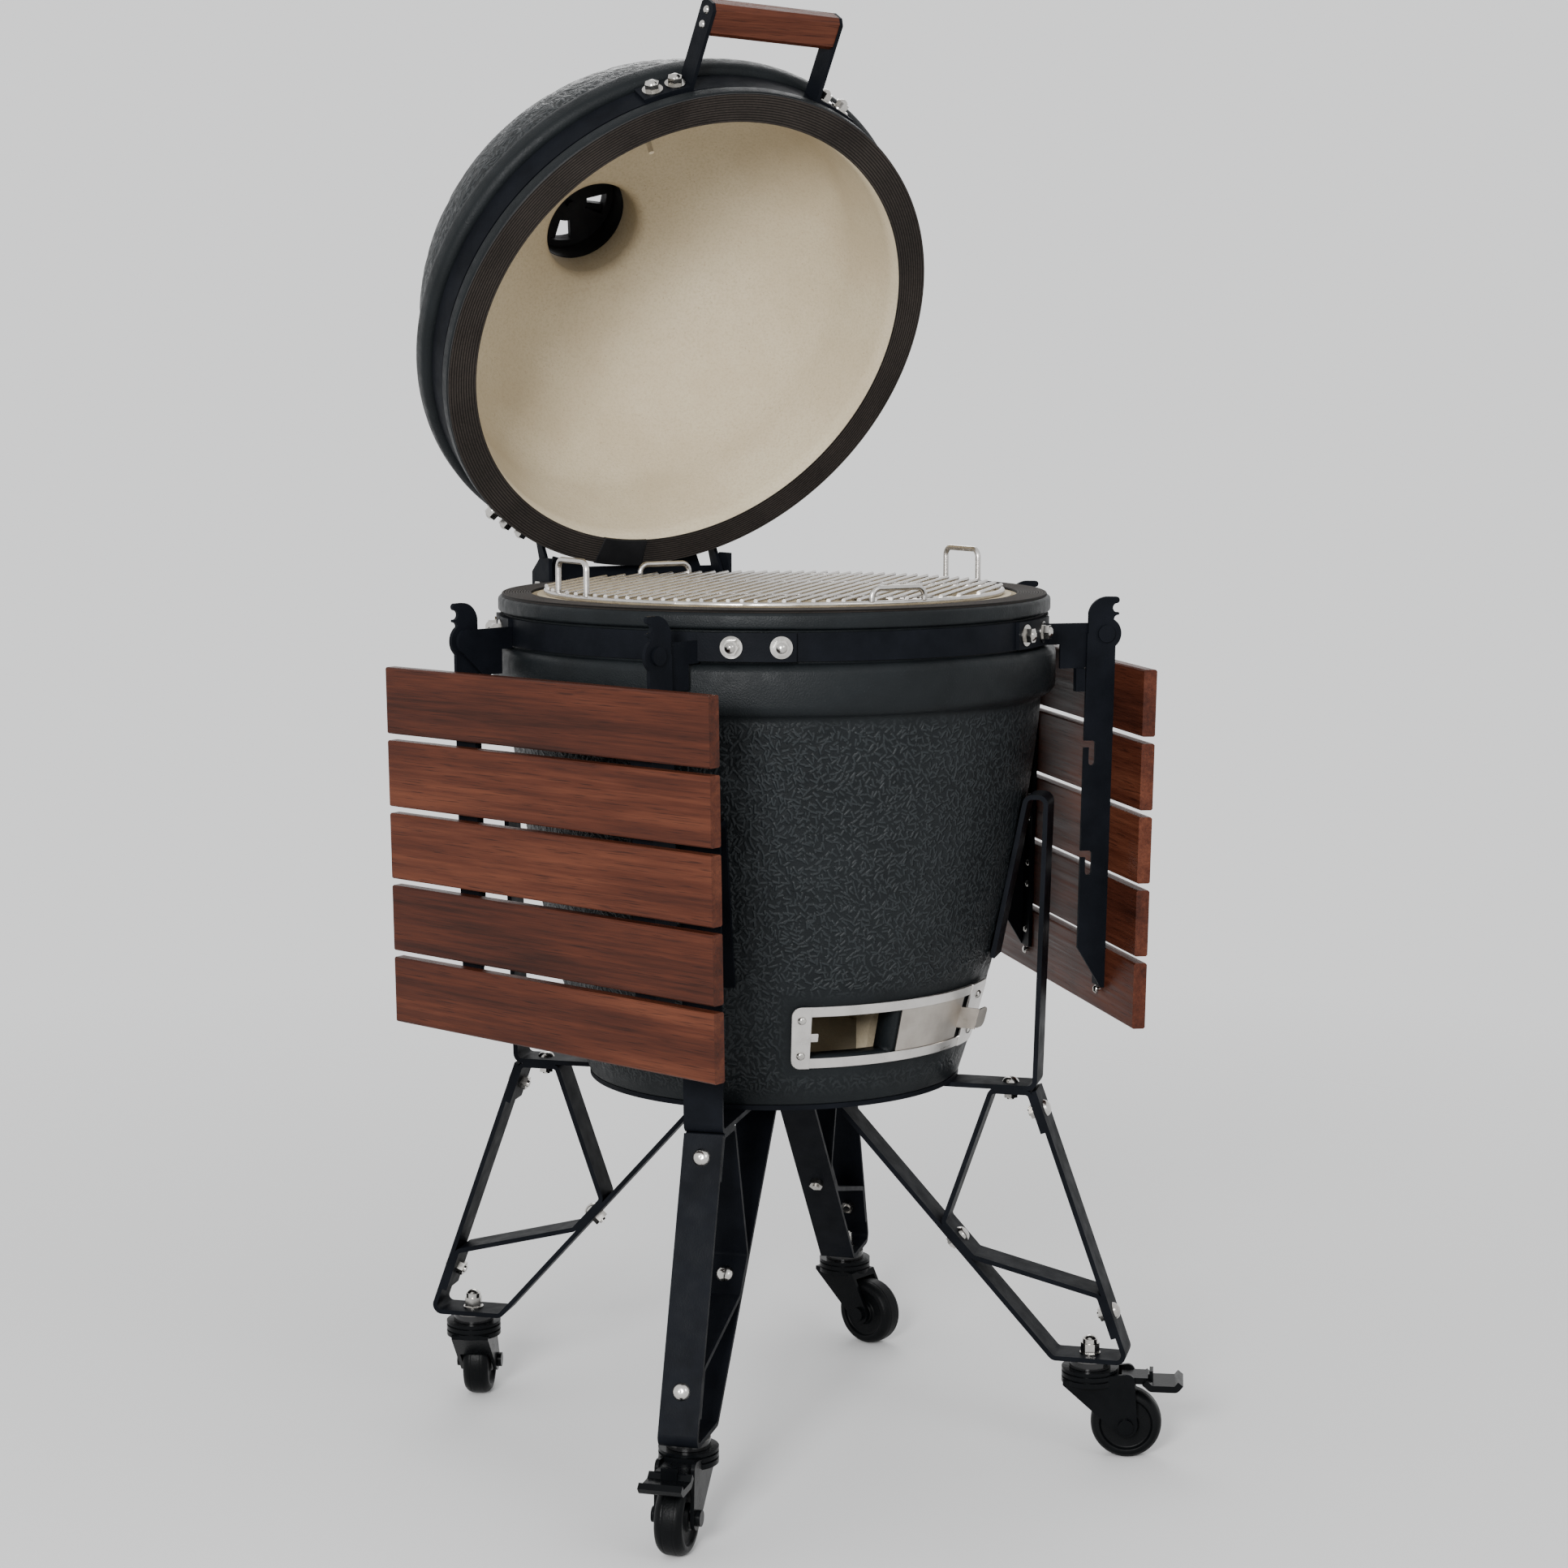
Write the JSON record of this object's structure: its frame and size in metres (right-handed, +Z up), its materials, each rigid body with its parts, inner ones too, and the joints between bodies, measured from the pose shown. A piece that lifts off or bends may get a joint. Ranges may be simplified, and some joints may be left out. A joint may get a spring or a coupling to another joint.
{
  "type": "ceramic kamado charcoal grill",
  "caption": "Ceramic kamado grill with hinged dome lid, sliding draft door, lift-out cooking grate, fold-down wooden side tables and a flat-bar cart on swivel casters.",
  "frame": {"origin": "middle of the object's box on the floor under the wheels", "axes": "+Z up, front with the draft door towards -Y, +X to the right seen from the front"},
  "size_m": [0.7962, 0.8417, 1.5261],
  "materials": {
    "glaze": "matt charcoal glaze with raised dimples",
    "fireclay": "unglazed fireclay",
    "felt": "ribbed heat-proof felt",
    "black_steel": "satin black powder coat",
    "stainless": "brushed stainless",
    "bright_steel": "bright steel fasteners",
    "cast_iron": "black cast iron",
    "wood": "oiled red-brown hardwood",
    "caster_plastic": "black nylon and painted steel",
    "wheel_rubber": "hard black rubber"
  },
  "bodies": {
    "base": {"band_nuts": "bright_steel", "base_plate": "black_steel", "bowl": "glaze", "bowl_band": "black_steel", "bowl_gasket": "felt", "cart_fasteners": "bright_steel", "charcoal_grate": "cast_iron", "cradle_arm_front_left": "black_steel", "cradle_arm_front_right": "black_steel", "cradle_arm_rear_left": "black_steel", "cradle_arm_rear_right": "black_steel", "draft_frame": "stainless", "draft_screws": "bright_steel", "fire_ring": "fireclay", "firebox": "fireclay", "hinge_base": "black_steel", "hinge_pin": "bright_steel", "left_front_bracket": "black_steel", "left_rear_bracket": "black_steel", "leg_brace_front_left": "black_steel", "leg_brace_front_right": "black_steel", "leg_brace_rear_left": "black_steel", "leg_brace_rear_right": "black_steel", "leg_frame_front_left": "black_steel", "leg_frame_front_right": "black_steel", "leg_frame_rear_left": "black_steel", "leg_frame_rear_right": "black_steel", "right_front_bracket": "black_steel", "right_rear_bracket": "black_steel"},
    "lid": {"handle_grip": "wood", "handle_strap_left": "black_steel", "handle_strap_right": "black_steel", "hinge_frame": "black_steel", "lid_band": "black_steel", "lid_dome": "glaze", "lid_fasteners": "bright_steel", "lid_gasket": "felt", "thermometer": "stainless", "vent_base": "cast_iron"},
    "vent_cap": {"vent_cap": "cast_iron"},
    "draft_door": {"draft_door": "stainless"},
    "cooking_grate": {"cooking_grate": "stainless"},
    "right_table": {"right_front_arm": "black_steel", "right_rear_arm": "black_steel", "right_table_screws": "bright_steel", "right_table_slats": "wood"},
    "left_table": {"left_front_arm": "black_steel", "left_rear_arm": "black_steel", "left_table_screws": "bright_steel", "left_table_slats": "wood"},
    "caster_front_right": {"caster_fork_front_right": "caster_plastic"},
    "wheel_front_right": {"wheel_front_right": "wheel_rubber"},
    "caster_rear_right": {"caster_fork_rear_right": "caster_plastic"},
    "wheel_rear_right": {"wheel_rear_right": "wheel_rubber"},
    "caster_rear_left": {"caster_fork_rear_left": "caster_plastic"},
    "wheel_rear_left": {"wheel_rear_left": "wheel_rubber"},
    "caster_front_left": {"caster_fork_front_left": "caster_plastic"},
    "wheel_front_left": {"wheel_front_left": "wheel_rubber"},
    "pedal_front_right": {"brake_pedal_front_right": "caster_plastic"},
    "pedal_front_left": {"brake_pedal_front_left": "caster_plastic"}
  },
  "joints": [
    {"name": "lid_hinge", "type": "hinge", "parent": "base", "child": "lid", "pos_m": [0, 0.216, 0.903], "axis": [-1, 0, 0], "range_deg": [-61.3, 6]},
    {"name": "vent_turn", "type": "hinge", "parent": "lid", "child": "vent_cap", "pos_m": [0, 0.38088, 1.34441], "axis": [0, 0.8771, 0.4802], "range_deg": [0, 45]},
    {"name": "draft_slide", "type": "hinge", "parent": "base", "child": "draft_door", "pos_m": [0, -0.092, 0.48], "axis": [0, 0, 1], "range_deg": [-25.5, 0]},
    {"name": "grate_lift", "type": "slide", "parent": "base", "child": "cooking_grate", "axis": [0, 0, 1], "range_m": [0, 0.06]},
    {"name": "right_table_fold", "type": "hinge", "parent": "base", "child": "right_table", "pos_m": [0.3071, -0.18883, 0.874], "axis": [-0.3007, -0.9537, 0], "range_deg": [0, 91.2]},
    {"name": "left_table_fold", "type": "hinge", "parent": "base", "child": "left_table", "pos_m": [-0.3071, -0.18883, 0.874], "axis": [-0.3007, 0.9537, 0], "range_deg": [0, 91.2]},
    {"name": "caster_swivel_front_right", "type": "hinge", "parent": "base", "child": "caster_front_right", "pos_m": [0.24466, -0.33666, 0.09], "axis": [0, 0, 1], "continuous": true},
    {"name": "wheel_roll_front_right", "type": "hinge", "parent": "caster_front_right", "child": "wheel_front_right", "pos_m": [0.27539, -0.36067, 0.0375], "axis": [0.6157, 0.788, 0], "continuous": true},
    {"name": "brake_front_right", "type": "hinge", "parent": "caster_front_right", "child": "pedal_front_right", "pos_m": [0.27618, -0.36129, 0.086], "axis": [0.6157, 0.788, 0], "range_deg": [0, 10]},
    {"name": "caster_swivel_rear_right", "type": "hinge", "parent": "base", "child": "caster_rear_right", "pos_m": [0.24466, 0.15266, 0.09], "axis": [0, 0, 1], "continuous": true},
    {"name": "wheel_roll_rear_right", "type": "hinge", "parent": "caster_rear_right", "child": "wheel_rear_right", "pos_m": [0.25671, 0.11557, 0.0375], "axis": [0.9511, 0.309, 0], "continuous": true},
    {"name": "caster_swivel_rear_left", "type": "hinge", "parent": "base", "child": "caster_rear_left", "pos_m": [-0.24466, 0.15266, 0.09], "axis": [0, 0, 1], "continuous": true},
    {"name": "wheel_roll_rear_left", "type": "hinge", "parent": "caster_rear_left", "child": "wheel_rear_left", "pos_m": [-0.22229, 0.18461, 0.0375], "axis": [-0.8192, 0.5736, 0], "continuous": true},
    {"name": "caster_swivel_front_left", "type": "hinge", "parent": "base", "child": "caster_front_left", "pos_m": [-0.24466, -0.33666, 0.09], "axis": [0, 0, 1], "continuous": true},
    {"name": "wheel_roll_front_left", "type": "hinge", "parent": "caster_front_left", "child": "wheel_front_left", "pos_m": [-0.27271, -0.36375, 0.0375], "axis": [0.6947, -0.7193, 0], "continuous": true},
    {"name": "brake_front_left", "type": "hinge", "parent": "caster_front_left", "child": "pedal_front_left", "pos_m": [-0.27343, -0.36445, 0.086], "axis": [0.6947, -0.7193, 0], "range_deg": [0, 10]}
  ]
}
